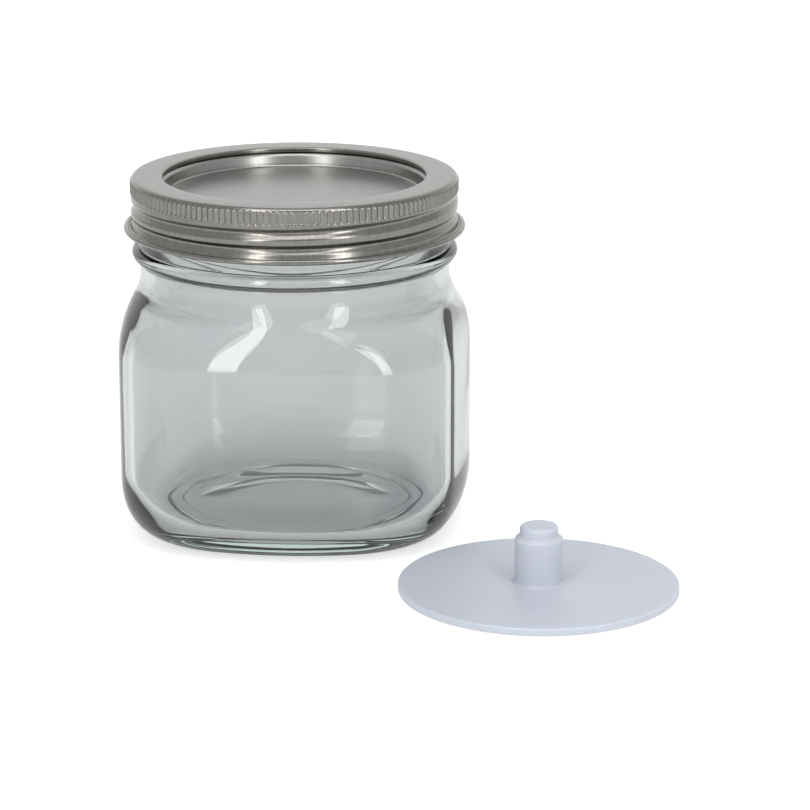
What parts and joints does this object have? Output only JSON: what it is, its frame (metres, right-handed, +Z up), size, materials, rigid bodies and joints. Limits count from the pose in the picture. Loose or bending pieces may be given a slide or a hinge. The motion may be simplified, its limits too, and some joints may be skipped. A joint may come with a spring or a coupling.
{
  "type": "sourdough starter jar",
  "caption": "Squat glass preserving jar, rounded-square body and round neck, with a two-piece metal screw closure and a silicone vent lid lying beside it.",
  "frame": {"origin": "on the jar's axis, in the plane of the ring that the jar stands on", "axes": "+Z up along the jar's axis; the flat sides of the body face along X and Y; the vent lid lies at +X and -Y"},
  "size_m": [0.1556, 0.1456, 0.098],
  "materials": {
    "glass": "clear, polished",
    "lid_steel": "satin plated",
    "sealing_compound": "matt",
    "band_steel": "satin plated",
    "silicone": "translucent, satin"
  },
  "bodies": {
    "jar": {"glass_jar": "glass"},
    "lid": {"lid_disc": "lid_steel", "sealing_ring": "sealing_compound"},
    "band": {"screw_band": "band_steel"},
    "vent_lid": {"vent_lid": "silicone"}
  },
  "joints": [
    {"name": "lid_rise", "type": "slide", "parent": "jar", "child": "lid", "axis": [0, 0, 1], "range_m": [0, 0.0204]},
    {"name": "band_turn", "type": "hinge", "parent": "lid", "child": "band", "pos_m": [0, 0, 0], "axis": [0, 0, 1], "range_deg": [0, 1440]},
    {"name": "vent_lift", "type": "slide", "parent": "jar", "child": "vent_lid", "axis": [0, 0, 1], "range_m": [0, 0.12]}
  ],
  "couplings": [
    {"joint": "lid_rise", "follows": "band_turn", "m_per_rad": 0.00080851}
  ]
}
